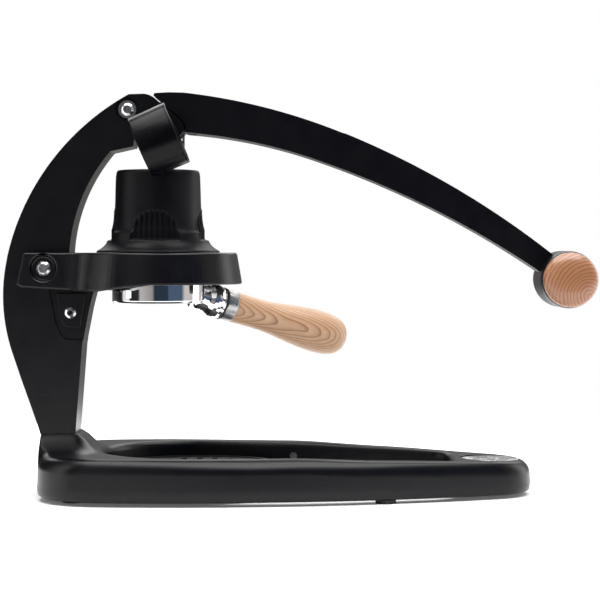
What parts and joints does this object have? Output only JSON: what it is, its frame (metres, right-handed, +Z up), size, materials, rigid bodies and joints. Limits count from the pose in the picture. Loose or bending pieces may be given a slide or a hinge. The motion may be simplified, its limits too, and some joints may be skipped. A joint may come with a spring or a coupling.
{
  "type": "manual lever espresso press",
  "caption": "Hand-powered lever espresso press: cast C-frame, forked lever, plunger in a brew cylinder, bayonet portafilter, gauge and drip tray.",
  "frame": {"origin": "on the floor under the middle of the machine", "axes": "+X to the front, where the lever handle is; +Z up; +Y to the right hand of a user who faces the machine"},
  "size_m": [0.44, 0.174, 0.2998],
  "materials": {
    "casting": "satin black powder coat",
    "rubber_black": "matte black rubber",
    "silicone": "matte black silicone",
    "stainless": "brushed stainless steel",
    "screw_steel": "bright stainless screws",
    "chrome": "polished chrome",
    "satin_metal": "satin turned metal",
    "medal": "satin cast medallion",
    "bronze": "plain bearing bronze",
    "gauge_black": "satin black",
    "gauge_glass": "clear lens",
    "dial_white": "matte white printed dial",
    "needle_red": "satin red",
    "tray_black": "moulded matte black",
    "ash_wood": "oiled pale ash",
    "cap_wood": "lacquered warm brown wood"
  },
  "bodies": {
    "frame": {"base_frame": "casting", "base_feet": "rubber_black", "foot_screws": "screw_steel", "nose_medallion": "medal", "rail_bumpers": "satin_metal", "post": "casting", "post_foot_bolts": "screw_steel", "brace_plates": "casting", "brace_screws": "screw_steel", "pivot_pin": "stainless", "pivot_screws": "screw_steel", "brew_cylinder": "stainless", "cylinder_sleeve": "silicone", "group_ring": "casting", "ring_bolts": "screw_steel", "lock_collar": "stainless", "group_gasket": "rubber_black", "shower_screen": "stainless"},
    "lever_arm": {"lever": "casting", "pivot_bushes": "bronze", "cross_pin": "stainless", "handle_hub": "casting", "near_cap": "cap_wood", "far_cap": "cap_wood", "handle_bolt": "screw_steel"},
    "roller": {"cross_roller": "bronze"},
    "plunger": {"crosshead": "stainless", "stem_nut": "screw_steel", "plunger_stem": "stainless", "piston": "stainless", "piston_seals": "rubber_black", "gauge_pipe": "stainless", "gauge_elbow": "bronze", "gauge_case": "gauge_black", "gauge_bezel": "gauge_black", "gauge_lens": "gauge_glass", "gauge_dial": "dial_white", "gauge_movement": "bronze"},
    "needle": {"gauge_needle": "needle_red"},
    "portafilter": {"portafilter_body": "chrome", "filter_basket": "stainless", "basket_spring": "screw_steel", "handle_neck": "chrome", "neck_o_ring": "rubber_black", "handle_ferrule": "satin_metal", "wood_handle": "ash_wood", "handle_stud": "screw_steel"},
    "tray": {"drip_tray": "tray_black"},
    "grate": {"drip_grate": "tray_black"}
  },
  "joints": [
    {"name": "lever_pivot", "type": "hinge", "parent": "frame", "child": "lever_arm", "pos_m": [-0.1278, 0, 0.2871], "axis": [0, -1, 0], "range_deg": [0, 65]},
    {"name": "roller_spin", "type": "hinge", "parent": "lever_arm", "child": "roller", "pos_m": [-0.10029, 0, 0.26711], "axis": [0, -1, 0], "continuous": true},
    {"name": "plunger_slide", "type": "slide", "parent": "frame", "child": "plunger", "axis": [0, 0, 1], "range_m": [0, 0.037]},
    {"name": "needle_turn", "type": "hinge", "parent": "plunger", "child": "needle", "pos_m": [-0.1023, -0.05, 0.2624], "axis": [0.9171, 0, 0.3987], "range_deg": [-270, 0], "stiffness_Nm_per_rad": 0.0005},
    {"name": "portafilter_twist", "type": "hinge", "parent": "frame", "child": "portafilter", "pos_m": [-0.1063, 0, 0.155], "axis": [0, 0, 1], "range_deg": [-54, 0]},
    {"name": "tray_lift", "type": "slide", "parent": "frame", "child": "tray", "axis": [0, 0, 1], "range_m": [0, 0.05]},
    {"name": "grate_lift", "type": "slide", "parent": "tray", "child": "grate", "axis": [0, 0, 1], "range_m": [0, 0.03]}
  ],
  "couplings": [
    {"joint": "plunger_slide", "follows": "lever_pivot", "m_per_rad": 0.032146}
  ]
}
